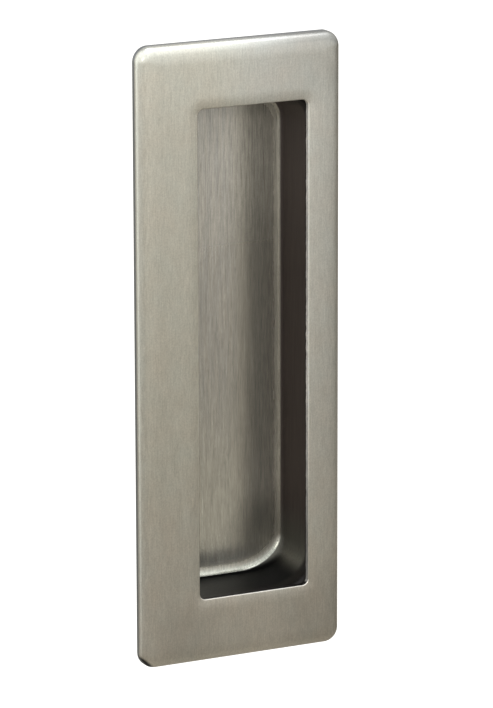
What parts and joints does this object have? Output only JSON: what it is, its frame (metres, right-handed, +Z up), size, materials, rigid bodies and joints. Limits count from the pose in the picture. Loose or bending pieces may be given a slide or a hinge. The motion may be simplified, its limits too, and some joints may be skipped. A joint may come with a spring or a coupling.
{
  "type": "flush pull",
  "caption": "Rectangular flush pull for a sliding door: a satin steel cover plate with soft edges and an offset opening over a deep-drawn finger recess.",
  "frame": {"origin": "centre of the plate on the door face, where the end of the cover's rim and the back of the flange lie", "axes": "+Z up along the plate's length, -Y out of the door towards the user, +X to the user's right, the side nearer the opening"},
  "size_m": [0.042, 0.0158, 0.12],
  "materials": {
    "cover_steel": "fine vertical brushing, satin",
    "cup_steel": "fine vertical brushing on the floor, drawn satin walls"
  },
  "bodies": {
    "root": {"cover_plate": "cover_steel", "recess_cup": "cup_steel"}
  },
  "joints": []
}
